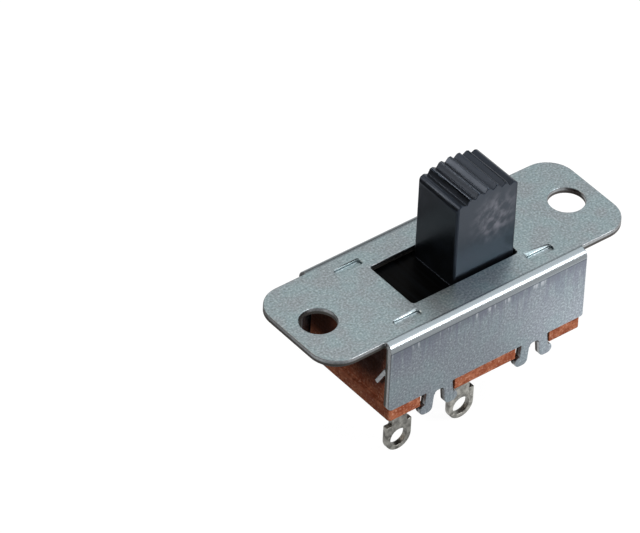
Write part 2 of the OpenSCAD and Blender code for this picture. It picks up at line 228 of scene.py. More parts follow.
camera = bpy.data.objects.new("camera", bpy.data.cameras.new("camera"))
camera.data.lens = CAMERA_LENS
camera.data.sensor_width = CAMERA_SENSOR
camera.data.clip_start, camera.data.clip_end = 10 * MM, 10
camera.matrix_world = Matrix.Translation(CAMERA_AIM + CAMERA_DISTANCE * back) @ Matrix(
    (side, over, back)).transposed().to_4x4()
bpy.context.scene.collection.objects.link(camera)
bpy.context.scene.camera = camera
bpy.context.scene.view_settings.view_transform = "Standard"
print("camera at", [round(c / MM, 1) for c in camera.location], "mm")

# %% [markdown]
# ## Floor, backdrop and light
#
# The switch stands on white. A white world alone would flood every side with the same light
# and leave the metal flat, so the white is kept for what the eye sees: the camera's own rays,
# and the rays that a gloss or a glass sends on. Light Path tells these apart from the rays
# that light a matt surface. The world is white at the horizon and grey overhead, as a studio
# is, so that polished black parts stay black. The floor works the same way, and a part of it
# stays a lit matt board, which keeps a faint shadow under the switch.

# %% What the eye sees
def white_to_the_eye(tree):
    """1 where the eye sees the studio, straight or in a mirror, and 0 where it lights matt.

    The answer is 1 for a ray from the camera, a gloss or a glass, as long as the ray has
    met no matt surface on its way.
    """
    path = add(tree, "LightPath").outputs
    gloss = add(tree, "Math", Value=path["Is Camera Ray"], Value_001=path["Is Glossy Ray"])
    both = add(tree, "Math", use_clamp=True, Value=gloss,
               Value_001=path["Is Transmission Ray"])
    clean = add(tree, "Math", operation="LESS_THAN", Value=path["Diffuse Depth"],
                Value_001=0.5)
    return add(tree, "Math", **PRODUCT, Value=both, Value_001=clean)


# %% [markdown]
# ### The sky
#
# A studio's walls are lit and its ceiling is not. One surrounding image could show that, but
# a plain ramp over the height is enough and reads no file. Hardly any of it lights a matt
# surface, because that is what the lamps are for.

# %% The sky
CEILING = 0.44      # strength of the sky overhead, as gloss and the camera see it
MATT_SKY = 0.005    # strength of the sky on matt surfaces
WHITE_UP_TO = 0.12  # the sky is white below this share of the way up
GREY_FROM = 0.32    # and has its strength overhead above this one

world = bpy.data.worlds.new("white_studio")
bpy.context.scene.world = world
world.use_nodes = True
sky = world.node_tree
sky.nodes.clear()
upward = add(sky, "SeparateXYZ", Vector=add(sky, "TexCoord").outputs["Generated"]).outputs["Z"]
shown_sky = add(sky, "MapRange", Value=upward, From_Min=WHITE_UP_TO, From_Max=GREY_FROM,
                To_Min=1.0, To_Max=CEILING)
sky_strength = add(sky, "MapRange", Value=white_to_the_eye(sky), To_Min=MATT_SKY,
                   To_Max=shown_sky)
background = add(sky, "Background", Color="#ffffff", Strength=sky_strength)
add(sky, "OutputWorld", Surface=background)
print("sky:", CEILING, "overhead and", MATT_SKY, "on matt surfaces")

# %% [markdown]
# ### The lamps
#
# Metal shows little but its mirror image of the room, so the room is dressed for it, as it is
# in a studio. A long soft box over the top gives the plate its even grey, and a lamp at the
# front right makes the white line along the fold. Three warm white cards behind show only in
# gloss and pick out the knob's ridges, and two lamps fill the matt surfaces alone. Every lamp
# is the same flat box, so one function places them all, and each highlight can be moved by
# itself.

# %% A soft lamp
LAMP_DISTANCE = 600  # millimetres from the switch to each lamp


def soft_lamp(name, direction, along, size, watts, on_matt=True, on_gloss=True,
              colour="#ffffff"):
    """A flat soft box that stands in one direction, with its first side along another one.

    Sizes are millimetres, and the colour is sRGB hex. With on_matt False it only shows as a
    highlight, as a small white card does, and with on_gloss False it only fills matt surfaces.
    """
    outward = Vector(direction).normalized()
    first = Vector(along)
    first = (first - first.dot(outward) * outward).normalized()
    lamp = bpy.data.lights.new(name, "AREA")
    lamp.shape = "RECTANGLE"
    lamp.size, lamp.size_y = (length * MM for length in size)
    lamp.energy = watts
    lamp.color = linear(colour)[:3]
    stand = bpy.data.objects.new(name, lamp)
    turned = Matrix((first, outward.cross(first), outward)).transposed().to_4x4()
    stand.matrix_world = Matrix.Translation(outward * LAMP_DISTANCE * MM) @ turned
    stand.visible_diffuse = on_matt
    stand.visible_glossy = on_gloss
    bpy.context.scene.collection.objects.link(stand)
    print(name, watts, "W")


# %% The lamps
WARM_WHITE = "#fff0e2"

soft_lamp("soft_box", (0.5, -0.05, 0.84), (0, 1.06, 0.21), (820, 280), 1.8)
soft_lamp("lamp_front_right", (0.49, -0.69, 0.49), (0.8, 0.6, 0), (260, 225), 1.8)
for name, direction, along, size, watts in (
        ("card_top", (0.1, 0.585, 0.8), (1, 0.2, 0), (90, 110), 0.36),
        ("card_back", (-0.45, 0.585, 0.66), (1, 0.6, 0), (190, 150), 0.17),
        ("card_back_left", (-0.71, 0.585, 0.38), (0.7, 0.7, 0), (190, 170), 0.6)):
    soft_lamp(name, direction, along, size, watts, on_matt=False, colour=WARM_WHITE)
soft_lamp("lamp_left", (-0.75, -0.15, 0.64), (0, 1, 0), (150, 110), 1.35, on_gloss=False)
soft_lamp("fill_front", (0.1, -1, 0.15), (1, 0, 0), (300, 200), 2.3, on_gloss=False)

# %% [markdown]
# ### The floor
#
# The floor is a plain pale board, one square that lies under the tips of the lugs. Seen
# straight it is white. The walls, the folds and the knob's sides mirror it, so in a mirror it
# is brighter to the right and is shaded where a neighbouring part would stand. Small white
# and grey cards on the table would do that in a studio. Here soft round spots in the board's
# own glow do it, since cards would be in the picture.

# %% The floor
FLOOR_HALF = 2.0          # half the side of the floor, metres
FLOOR_SHOWN_WHITE = 0.88  # the share of the floor that glows, and the rest is lit matt
WHITE_GLOW = 1.09         # the two shares come to just over 1 where the floor is open
FLOOR_SPOTS = [  # x, y, inner and outer radius in millimetres, and the change in strength
    (22, -10, 7, 15, 1.1),
    (25, -50, 15, 30, 0.15),
    (-21, 20, 9, 15, -0.85),
    (-26, -20, 11, 19, -0.75),
    (-10, -6, 2, 8, -0.25),
    (3, -6, 2, 8, 0.4),
]

floor_z = CAD_BOX[0][2]


def soft_spot(tree, where, x, y, inner, outer):
    """1 near a point of the floor and 0 far from it. Sizes are millimetres."""
    away = add(tree, "VectorMath", operation="DISTANCE", Vector=where,
               Vector_001=(x * MM, y * MM, floor_z))
    return add(tree, "MapRange", **SMOOTH, Value=away, From_Min=outer * MM,
               From_Max=inner * MM)


floor_mesh = bpy.data.meshes.new("floor")
floor_mesh.from_pydata(
    [(x * FLOOR_HALF, y * FLOOR_HALF, floor_z) for x, y in ((-1, -1), (1, -1), (1, 1), (-1, 1))],
    [], [(0, 1, 2, 3)])
floor = bpy.data.objects.new("floor", floor_mesh)
bpy.context.scene.collection.objects.link(floor)

floor_paint = bpy.data.materials.new("matt_white_board")
floor_paint.use_nodes = True
board = floor_paint.node_tree
board.nodes.clear()
straight = add(board, "LightPath").outputs["Is Camera Ray"]
paint = add(board, "Mix", **COLOURS, Factor_Float=straight, A_Color="#303030",
            B_Color="#f0f0f0")
lit = add(board, "BsdfDiffuse", Color=paint)
spot = add(board, "NewGeometry").outputs["Position"]
mirrored = 1.0
for x, y, inner, outer, change in FLOOR_SPOTS:
    mirrored = add(board, "Math", operation="MULTIPLY_ADD",
                   Value=soft_spot(board, spot, x, y, inner, outer), Value_001=change,
                   Value_002=mirrored)
seen = add(board, "MapRange", Value=straight, To_Min=mirrored, To_Max=WHITE_GLOW)
glow = add(board, "Emission", Color="#ffffff", Strength=seen)
share = add(board, "Math", **PRODUCT, Value=white_to_the_eye(board),
            Value_001=FLOOR_SHOWN_WHITE)
shown = add(board, "MixShader", Fac=share, Shader=lit, Shader_001=glow)
add(board, "OutputMaterial", Surface=shown)
floor_mesh.materials.append(floor_paint)
print("floor at", round(floor_z / MM, 2), "mm")

# %% [markdown]
# ### The black flag
#
# A flag is a black felt screen that stands where a gloss should stay dark. This one stands
# low at the back left and keeps the knob's first ridges dark. Painting those ridges darker
# would look wrong from any other side, and a flag doesn't. It only shows in a mirror, so the
# camera and the matt surfaces don't see it.

# %% The black flag
FLAG_PLACE = Vector((-45, 34, 0)) * MM
FLAG_SIDEWAYS = Vector((0.6, 0.8, 0)) * 35 * MM  # from its middle to one upright edge
FLAG_TOP = 25 * MM

flag_mesh = bpy.data.meshes.new("black_flag")
foot, head = Vector((0, 0, floor_z)), Vector((0, 0, FLAG_TOP))
flag_mesh.from_pydata(
    [FLAG_PLACE - FLAG_SIDEWAYS + foot, FLAG_PLACE + FLAG_SIDEWAYS + foot,
     FLAG_PLACE + FLAG_SIDEWAYS + head, FLAG_PLACE - FLAG_SIDEWAYS + head],
    [], [(0, 1, 2, 3)])
flag = bpy.data.objects.new("black_flag", flag_mesh)
bpy.context.scene.collection.objects.link(flag)
flag.visible_camera = flag.visible_diffuse = flag.visible_shadow = False

felt, tree, shader = new_material("black_felt", Roughness=1, Specular_IOR_Level=0)
fibres = add(tree, "TexNoise", Vector=add(tree, "TexCoord").outputs["Object"],
             Scale=per(0.8), Detail=1.0)
base = add(tree, "Mix", **COLOURS, Factor_Float=fibres, A_Color="#050505", B_Color="#0b0b0b")
settle(tree, shader, Base_Color=base)
flag_mesh.materials.append(felt)

# %% [markdown]
# ## Soft edges on the solid pieces
#
# No real edge is perfectly sharp. Sheared steel has a rolled edge and a small burr, and a
# moulded part has the radius of its tool, and that radius is what catches the light. A Bevel
# shader node would only fake it, so each solid piece is a copy of its CAD mesh with a Bevel
# modifier. The copy is made whole first: its loose triangles are merged and flat neighbours
# become one face. Each edge that turns by more than a set angle then gets a bevel weight,
# and a piece may ask for a wider or narrower radius on some of its edges.

# %% Pieces from CAD nodes
EDGE_ANGLE = math.radians(28)  # an edge that turns by more than this is rounded
FLAT = math.radians(0.5)       # and one that turns by less than this is no edge
MERGE = 0.001 * MM             # corners this close together are one


def whole_copy(node, softness):
    """A copy of a CAD node's mesh: corners merged, flat faces joined, edges weighted."""
    shell = bmesh.new()
    shell.from_mesh(NODES[node].data)
    bmesh.ops.remove_doubles(shell, verts=shell.verts, dist=MERGE)
    bmesh.ops.dissolve_limit(shell, angle_limit=FLAT, verts=shell.verts, edges=shell.edges)
    weight = shell.edges.layers.float.new("bevel_weight_edge")
    for edge in shell.edges:
        if edge.calc_face_angle(0) > EDGE_ANGLE:
            edge[weight] = softness(edge)
    for face in shell.faces:
        face.smooth = True
    mesh = bpy.data.meshes.new(node)
    shell.to_mesh(mesh)
    shell.free()
    mesh.materials.clear()
    return mesh


def as_piece(name, mesh, node, slot, *materials):
    """Puts a mesh into the scene as the piece that stands for a CAD node."""
    piece = bpy.data.objects.new(name, mesh)
    bpy.context.scene.collection.objects.link(piece)
    for material in materials:
        mesh.materials.append(material)
    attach(piece, NODES[node]["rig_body"])
    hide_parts(node)
    print(name, len(mesh.polygons), "faces")
    return piece


def round_edges(piece, radius_mm, segments=3):
    """Rounds the weighted edges, and keeps the flat faces beside them shaded flat."""
    bevel = piece.modifiers.new("soft_edges", "BEVEL")
    bevel.width = radius_mm * MM
    bevel.segments = segments
    bevel.limit_method = "WEIGHT"
    bevel.use_clamp_overlap = False
    bevel.miter_outer = "MITER_ARC"
    steady = piece.modifiers.new("flat_faces_stay_flat", "WEIGHTED_NORMAL")
    steady.weight = 100  # the largest face at a corner decides how it is shaded


# %% [markdown]
# ## Zinc-plated steel
#
# The frame is one strip of steel, punched out, folded and plated. Bright zinc is a grey metal
# with a blue-green cast. It is laid down as a fine, matt grain with soft clouds in it, and the
# press leaves faint upright marks where the walls were drawn down, with a few bright flecks
# between them. The outside of each fold was rubbed by the tool, so it is smoother and shines
# white. So were the rims of the pressed dents. A thin dark line along each side of a fold is
# painted shade, and so is a darker band on the wall just below it.
#
# These places could be painted by hand. They all run along the sheet, though, so a height and
# a distance from the middle line are enough to find them, and they stay sharp from close by.

# %% Zinc-plated steel: where things lie
BEND = 0.85              # outer radius of the folds
HALF_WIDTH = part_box("mounting_frame")[1][1] / MM
FOLD_START = HALF_WIDTH - BEND  # distance from the middle line at which a fold begins
FOLD_FOOT = -0.95        # height at which its burnished face ends on the wall
DENT_ROW = (3.25, 4.35)  # the dents lie between these distances from the middle line
DENT_FLOOR = -0.27       # height at which the rims of the dents end

zinc, tree, shader = new_material("zinc_plated_steel", Metallic=1.0)
where = add(tree, "TexCoord").outputs["Object"]
axes = add(tree, "SeparateXYZ", Vector=where).outputs
height = axes["Z"]
off_middle = add(tree, "Math", operation="ABSOLUTE", Value=axes["Y"])

on_wall = add(tree, "MapRange", **SMOOTH, Value=height, From_Min=(FOLD_FOOT + 0.15) * MM,
              From_Max=(FOLD_FOOT - 0.15) * MM)
past_plate = add(tree, "MapRange", **SMOOTH, Value=off_middle,
                 From_Min=(FOLD_START - 0.05) * MM, From_Max=(FOLD_START + 0.15) * MM)
above_wall = add(tree, "MapRange", **SMOOTH, Value=height,
                 From_Min=(FOLD_FOOT - 0.1) * MM, From_Max=(FOLD_FOOT + 0.15) * MM)
on_fold = add(tree, "Math", **PRODUCT, Value=past_plate, Value_001=above_wall)
# Painted shade: a thin dark line along each side of a fold, one at the plate and one at the wall.
painted_shade_line_at_plate = band(
    tree, off_middle, (FOLD_START - 0.12, FOLD_START), (FOLD_START, FOLD_START + 0.12))
painted_shade_line_at_wall = band(
    tree, height, (FOLD_FOOT - 0.1, FOLD_FOOT), (FOLD_FOOT + 0.01, FOLD_FOOT + 0.11))
below_fold = band(tree, height, (FOLD_FOOT - 1.25, FOLD_FOOT - 0.25),
                  (FOLD_FOOT - 0.05, FOLD_FOOT + 0.05))
in_dent_row = band(tree, off_middle, (DENT_ROW[0], DENT_ROW[0] + 0.05),
                   (DENT_ROW[1] - 0.05, DENT_ROW[1]))
down_dent = band(tree, height, (DENT_FLOOR - 0.02, DENT_FLOOR + 0.02), (-0.03, -0.005))
at_dent = add(tree, "Math", **PRODUCT, Value=in_dent_row, Value_001=down_dent)
burnished = add(tree, "Math", operation="MAXIMUM", Value=on_fold, Value_001=at_dent)
print("folds begin", round(FOLD_START, 2), "mm from the middle line")

# %% [markdown]
# ### The patterns of the plating
#
# Three noises on the piece's own coordinates make up the finish: clouds some millimetres
# wide, grain a fifth of a millimetre wide, and one noise that is stretched down the walls for
# the draw marks and the flecks. Real crystals of zinc are far smaller than that grain, which
# is drawn as coarse as it has to be to show. A noise is cut to its place with a product.

# %% Zinc-plated steel: the patterns
clouds = add(tree, "TexNoise", Vector=where, Scale=per(2.6), Detail=2.0)
grain = add(tree, "TexNoise", Vector=where, Scale=per(0.2), Detail=1.0)
down_wall = add(tree, "Mapping", Vector=where, Scale=(1, 1, 0.08))
drawn = add(tree, "TexNoise", Vector=down_wall, Scale=per(0.32), Detail=1.0)

wall_clouds = add(tree, "MapRange", **SMOOTH, Value=clouds, From_Min=0.7, From_Max=0.3,
                  To_Min=0.45, To_Max=0.9)
wall_tone = add(tree, "Math", **PRODUCT, Value=on_wall, Value_001=wall_clouds)
# Painted shade: a darker band on the wall just below the fold.
shaded = add(tree, "Math", **PRODUCT, Value=below_fold, Value_001=0.6)
scraped = add(tree, "MapRange", **SMOOTH, Value=drawn, From_Min=0.42, From_Max=0.66)
scraped_wall = add(tree, "Math", **PRODUCT, Value=scraped, Value_001=on_wall)
fades_down = add(tree, "MapRange", **SMOOTH, Value=height, From_Min=(FOLD_FOOT - 4.55) * MM,
                 From_Max=(FOLD_FOOT - 0.25) * MM, To_Max=0.6)
marks = add(tree, "Math", **PRODUCT, Value=scraped_wall, Value_001=fades_down)
bright = add(tree, "MapRange", **SMOOTH, Value=drawn, From_Min=0.42, From_Max=0.3)
high_up = add(tree, "MapRange", **SMOOTH, Value=height, From_Min=(FOLD_FOOT - 0.8) * MM,
              From_Max=(FOLD_FOOT - 0.25) * MM)
high_wall = add(tree, "Math", **PRODUCT, Value=high_up, Value_001=on_wall)
fleck_places = add(tree, "Math", **PRODUCT, Value=bright, Value_001=high_wall)
flecks = add(tree, "Math", **PRODUCT, Value=fleck_places, Value_001=0.6)
# Painted shade line at the foot of the fold, on the wall.
painted_shade_line_share = add(tree, "Math", **PRODUCT, Value=painted_shade_line_at_wall, Value_001=0.85)
print("patterns of the plating:", len(tree.nodes), "nodes")

# %% [markdown]
# ### The colour, the gloss and the grain of the plating
#
# The colours are laid over one another from the widest to the finest: the plating, its grain,
# what the press did to the walls, a band of painted shade on the wall just below each fold,
# and the folds on top. A fold is painted darker near the plate and paler lower down, painted
# shade that tones its reflections, with a thin line of painted shade at each side. Matt zinc
# spreads a highlight widely, and a burnished fold draws it together to a white line, so the
# roughness drops there. A low bump from the same grain makes the plating sparkle.

# %% Zinc-plated steel: the colour, the gloss and the grain
# Painted shade on the folds: darker where a fold leaves the plate and paler further down, which
# tones the reflections that the fold shows.
painted_fold_shade = toned(tree, height, -0.08 * MM, -0.36 * MM, "#6c7377", "#8e9498")
base = toned(tree, clouds, 0.35, 0.65, "#868e92", "#86969a")
base = add(tree, "Mix", **COLOURS, Factor_Float=wall_tone, A_Color=base, B_Color="#80868f")
base = toned(tree, grain, 0.45, 0.8, base, "#b4c0c4", most=0.6)
base = toned(tree, grain, 0.5, 0.2, base, "#5c656a", most=0.6)
# Over the grain go the painted shade below the fold, the draw marks, the flecks, the folds with
# their painted shade, and the painted shade lines at each side of a fold.
for share, tone in ((shaded, "#686e78"), (marks, "#6d7080"), (flecks, "#c4c8ce"),
                    (on_fold, painted_fold_shade), (painted_shade_line_share, "#444955"), (painted_shade_line_at_plate, "#6a7276")):
    base = add(tree, "Mix", **COLOURS, Factor_Float=share, A_Color=base, B_Color=tone)

matt = add(tree, "MapRange", **SMOOTH, Value=clouds, From_Min=0.3, From_Max=0.7, To_Min=0.4,
           To_Max=0.44)
rough = add(tree, "MapRange", Value=burnished, To_Min=matt, To_Max=0.22)
bumps = add(tree, "Bump", Height=grain, Strength=0.35, Distance=0.01 * MM)
settle(tree, shader, Base_Color=base, Roughness=rough, Normal=bumps)
print("the whole plating:", len(tree.nodes), "nodes")

# %% [markdown]
# ### The sheared edges
#
# A punch first rolls the top of the sheet over, then cuts a smooth, bright zone, and at last
# the rest of the thickness tears and stays rough and dull. Every cut edge of the frame shows
# these bands. They follow the depth below the outer face, which no axis gives, because the
# sheet is folded. So each corner of the mesh gets that depth as an attribute, worked out from
# the folded section, and the material reads its bands from it. Only the two bent tabs reach
# deeper than the sheet is thick, and their narrow sides keep the bright tone.

# %% Sheared edges
SHEET = 0.7        # thickness of the sheet, millimetres
EDGE_RANGE = 0.35  # a face that spans more depth than this is a cut edge, millimetres


def sheet_depth(points):
    """The depth of points (in mm) below the outer face of the folded sheet.

    On the plate it is minus z. On a wall it is the half width minus |y|. On a fold it is the
    bend's radius minus the distance from the bend's middle line.
    """
    y, z = np.abs(points[:, 1]), points[:, 2]
    on_plate = -z
    on_wall_face = HALF_WIDTH - y
    on_bend = BEND - np.hypot(y - FOLD_START, z + BEND)
    return np.where(y < FOLD_START, on_plate, np.where(z > -BEND, on_bend, on_wall_face))


def mark_cut_edges(mesh):
    """Stores each corner's depth, and gives the faces that cross the sheet material 1."""
    points = np.empty(len(mesh.vertices) * 3)
    mesh.vertices.foreach_get("co", points)
    depth = sheet_depth(points.reshape(-1, 3) / MM)
    mesh.attributes.new("sheet_depth", "FLOAT", "POINT").data.foreach_set("value", depth)
    corners = np.empty(len(mesh.loops), dtype=np.int32)
    mesh.loops.foreach_get("vertex_index", corners)
    starts = np.empty(len(mesh.polygons), dtype=np.int32)
    mesh.polygons.foreach_get("loop_start", starts)
    spans = (np.maximum.reduceat(depth[corners], starts)
             - np.minimum.reduceat(depth[corners], starts))
    mesh.polygons.foreach_set("material_index", (spans > EDGE_RANGE).astype(np.int32))
    print("cut edge faces:", int((spans > EDGE_RANGE).sum()), "of", len(spans))


cut_steel, tree, shader = new_material("sheared_steel_edge", Metallic=1.0)
depth = add(tree, "Attribute", attribute_name="sheet_depth").outputs["Fac"]
streaks = add(tree, "TexNoise", Vector=add(tree, "TexCoord").outputs["Object"],
              Scale=per(0.25), Detail=2.0)
torn = band(tree, depth, (0.38 * SHEET, 0.6 * SHEET), (1.1 * SHEET, 1.2 * SHEET), unit=1)
base = toned(tree, streaks, 0.3, 0.7, "#84878a", "#9c9fa1")
base = add(tree, "Mix", **COLOURS, Factor_Float=torn, A_Color=base, B_Color="#55524f")
rough = add(tree, "MapRange", **SMOOTH, Value=torn, To_Min=0.35, To_Max=0.65)
bumps = add(tree, "Bump", Height=streaks, Strength=0.5, Distance=0.02 * MM)
settle(tree, shader, Base_Color=base, Roughness=rough, Normal=bumps)

# %% [markdown]
# ### The frame
#
# The CAD node already has the folds, the holes, the dents, the clinch lugs and the tabs, so
# the piece is a copy of it with soft edges. A punch that only presses draws the sheet in
# around it, and one that cuts leaves a narrow edge. So the rims of the dents get the whole
# radius, and all the cut edges a little more than half of it.

# %% The frame
ON_THE_FACE = -0.01 * MM     # above this height an edge lies on the plate's top face
THROUGH = -0.8 * SHEET * MM  # and a face that reaches below this one is a cut edge


def frame_softness(edge):
    """A pressed dent has a wide, drawn-in rim, and a cut edge a narrow one.

    A rim edge of a dent lies on the plate's face, and no face beside it reaches through
    the sheet.
    """
    lowest = min(corner.co.z for face in edge.link_faces for corner in face.verts)
    top = max(corner.co.z for corner in edge.verts)
    return 1.0 if top > ON_THE_FACE and lowest > THROUGH else 0.6


shell = whole_copy("mounting_frame", frame_softness)
mark_cut_edges(shell)
frame_shell = as_piece("frame_shell", shell, "mounting_frame", "plated_steel", zinc, cut_steel)
round_edges(frame_shell, radius_mm=0.15)

# %% [markdown]
# ## The base: moulded phenolic
#
# The base is pressed from phenolic powder with wood flour in it. That gives a satin,
# orange-brown body with flecks and small pale blotches, a little rougher than a thermoplastic.
# It hardly shines at all, so its specular level is low. The two end walls are painted dark
# high up, under the ears: painted shade where the ears cover them, which fades out towards
# the bottom and the front edge.
#
# Cracks and grains could be modelled, but they are finer than a tenth of a millimetre. Two
# noises colour the body instead: blotches about a millimetre wide and flecks of filler about
# a quarter of one, which also give it a low bump.

# %% Moulded phenolic
END_WALL = 10.6  # how far the end walls of the base are from its centre, millimetres

phenolic, tree, shader = new_material("moulded_phenolic", Specular_IOR_Level=0.05)
where = add(tree, "TexCoord").outputs["Object"]
axes = add(tree, "SeparateXYZ", Vector=where).outputs
off_centre = add(tree, "Math", operation="ABSOLUTE", Value=axes["X"])
blotches = add(tree, "TexNoise", Vector=where, Scale=per(1.1), Detail=3.0)
flecks = add(tree, "TexNoise", Vector=where, Scale=per(0.24), Detail=1.0)

# Painted shade on the end walls, high up under the ears, fading out downwards and towards the
# front edge.
on_end = add(tree, "MapRange", **SMOOTH, Value=off_centre, From_Min=(END_WALL - 0.3) * MM,
             From_Max=(END_WALL - 0.1) * MM)
high_up = add(tree, "MapRange", **SMOOTH, Value=axes["Z"], From_Min=-9.0 * MM,
              From_Max=-4.0 * MM)
past_front = add(tree, "MapRange", **SMOOTH, Value=axes["Y"], From_Min=-5.4 * MM,
                 From_Max=-4.2 * MM)
high_on_end = add(tree, "Math", **PRODUCT, Value=on_end, Value_001=high_up)
shade_under_ears = add(tree, "Math", **PRODUCT, Value=high_on_end, Value_001=past_front)
# skin is that painted shade under the ears, not a skin of the mould.
skin = add(tree, "Math", **PRODUCT, Value=shade_under_ears, Value_001=0.8)

base = toned(tree, blotches, 0.35, 0.68, "#84462f", "#a5674c")
base = toned(tree, flecks, 0.52, 0.78, base, "#c59580", most=0.6)
base = toned(tree, flecks, 0.44, 0.22, base, "#54281d", most=0.7)
base = add(tree, "Mix", **COLOURS, Factor_Float=skin, A_Color=base, B_Color="#321610")
rough = add(tree, "MapRange", **SMOOTH, Value=blotches, From_Min=0.3, From_Max=0.7,
            To_Min=0.5, To_Max=0.7)
bumps = add(tree, "Bump", Height=flecks, Strength=0.5, Distance=0.015 * MM)
settle(tree, shader, Base_Color=base, Roughness=rough, Normal=bumps)

# %% [markdown]
# ### The base
#
# The base comes out of a steel tool whose edges are all cut with the same small radius, so
# every edge of its piece is as soft as the next.

# %% The base
def evenly(edge):
    """The same softness for every edge of a piece."""
    return 1.0


shell = whole_copy("base_housing", evenly)
base_shell = as_piece("base_shell", shell, "base_housing", "phenolic", phenolic)
round_edges(base_shell, radius_mm=0.1)

# %% [markdown]
# ## The knob: moulded black nylon
#
# Knob, slide plate and carriage are one black moulding. The knob's faces come from a polished
# tool: they are nearly black, with a cloudy, bluish sheen and a paler, smeared patch where
# fingers have rubbed them. That patch could be an image. A noise that leans and is drawn out,
# and that fades with the distance from one point, looks the same and needs no unwrapping.

# %% Black nylon: the knob's faces
RUBBED_PLACE = Vector((3.2, -3.1, 5.4)) * MM  # the middle of the worn patch
SMEAR_ANGLE = math.radians(50)                # how far the smears lean from upright

glossy_black, tree, shader = new_material(
    "moulded_black_nylon", Specular_Tint="#c8dfff", Specular_IOR_Level=0.68)
where = add(tree, "TexCoord").outputs["Object"]
sheen = add(tree, "TexNoise", Vector=where, Scale=per(1.6), Detail=3.0)
fine = add(tree, "TexNoise", Vector=where, Scale=per(0.22), Detail=1.0)
leaning = add(tree, "VectorRotate", rotation_type="Y_AXIS", Vector=where, Angle=SMEAR_ANGLE)
lengthened = add(tree, "Mapping", Vector=leaning, Scale=(0.75, 1, 1))
smears = add(tree, "TexNoise", Vector=lengthened, Scale=per(0.75), Detail=6.0)

away = add(tree, "VectorMath", operation="DISTANCE", Vector=where, Vector_001=RUBBED_PLACE)
near = add(tree, "MapRange", **SMOOTH, Value=away, From_Min=3.4 * MM, From_Max=0.8 * MM)
smeared = add(tree, "MapRange", **SMOOTH, Value=smears, From_Min=0.4, From_Max=0.76)
rubbed = add(tree, "Math", **PRODUCT, Value=near, Value_001=smeared)
base = toned(tree, sheen, 0.45, 0.7, "#08090b", "#0e1014")
base = add(tree, "Mix", **COLOURS, Factor_Float=rubbed, A_Color=base, B_Color="#626066")
rough = add(tree, "MapRange", **SMOOTH, Value=sheen, From_Min=0.35, From_Max=0.7,
            To_Min=0.28, To_Max=0.33)
bumps = add(tree, "Bump", Height=fine, Strength=0.06, Distance=0.01 * MM)
settle(tree, shader, Base_Color=base, Roughness=rough, Normal=bumps)

# %% [markdown]
# ### The slide plate
#
# The frame rubs over the slide plate and leaves it dull, with fine lines across it. It lies
# deep in the slot and hardly mirrors anything, so it gets a material of its own with almost
# no specular light.

# %% Black nylon: the slide plate
dull_black, tree, shader = new_material("rubbed_black_nylon", Specular_IOR_Level=0.03)
across_slide = add(tree, "Mapping", Vector=add(tree, "TexCoord").outputs["Object"],
                   Scale=(1, 0.06, 1))
lines = add(tree, "TexNoise", Vector=across_slide, Scale=per(0.3), Detail=1.0)
base = toned(tree, lines, 0.4, 0.7, "#010101", "#07090b")
rough = add(tree, "MapRange", **SMOOTH, Value=lines, From_Min=0.3, From_Max=0.7, To_Min=0.3,
            To_Max=0.45)
settle(tree, shader, Base_Color=base, Roughness=rough)

# %% [markdown]
# ### The knob
#
# The four upright corners of the knob are the roundest edges of the moulding, and its ridges
# are nearly as sharp as the tool. One Bevel modifier does both, because each edge has its own
# weight. A face gets the dull material when all of it lies as low as the slide plate does.

# %% The knob
SLIDE_TOP = -0.6 * MM  # the slide plate and all below it lie under this height
LONG_EDGE = 2 * MM     # the knob's four corners are longer than this, and its ridges shorter
UPRIGHT = 0.99         # how nearly upright an edge has to be to count as a corner


def knob_softness(edge):
    """The upright edges are the roundest. All the others are close to the tool's sharp ones."""
    along = (edge.verts[0].co - edge.verts[1].co).normalized()
    return 1.0 if abs(along.z) > UPRIGHT and edge.calc_length() > LONG_EDGE else 0.4


shell = whole_copy("slider_knob", knob_softness)
tops = np.array([
    max(shell.vertices[corner].co.z for corner in face.vertices) for face in shell.polygons])
shell.polygons.foreach_set("material_index", (tops < SLIDE_TOP).astype(np.int32))
knob_shell = as_piece(
    "knob_shell", shell, "slider_knob", "black_plastic", glossy_black, dull_black)
round_edges(knob_shell, radius_mm=0.13)

# %% [markdown]
# ## Solder lugs: tinned brass
#
# The lugs are stamped from brass strip and dipped in tin, which sets in a satin grey with a
# faint warm cast, soft ripples and a few bright spots. The ripples are some hundredths of a
# millimetre high, too low for the mesh, so one noise gives the colour, the gloss and the bump
# together: a crest is paler and more matt than a hollow.

# %% Tinned brass
tinned, tree, shader = new_material("tinned_brass", Metallic=1.0)
where = add(tree, "TexCoord").outputs["Object"]
ripples = add(tree, "TexNoise", Vector=where, Scale=per(0.7), Detail=2.0)
spots = add(tree, "TexNoise", Vector=where, Scale=per(0.25), Detail=1.0)
base = toned(tree, ripples, 0.3, 0.7, "#64635f", "#a3a29c")
base = toned(tree, spots, 0.6, 0.75, base, "#b9b7b0", most=0.6)
rough = add(tree, "MapRange", **SMOOTH, Value=ripples, From_Min=0.3, From_Max=0.7,
            To_Min=0.32, To_Max=0.48)
bumps = add(tree, "Bump", Height=ripples, Strength=0.6, Distance=0.03 * MM)
settle(tree, shader, Base_Color=base, Roughness=rough, Normal=bumps)

# %% [markdown]
# ### The lugs
#
# Each lug has a round foot that is riveted under the base. It bends down into a neck, which
# widens into a round eye for the wire. Both lugs are stamped by one tool, so a loop makes
# them with the same narrow edge.

# %% The lugs
for lug, node in (("lug_left", "terminal_left"), ("lug_centre", "terminal_centre")):
    shell = whole_copy(node, evenly)
    round_edges(as_piece(lug, shell, node, "tinned_brass", tinned), radius_mm=0.07)

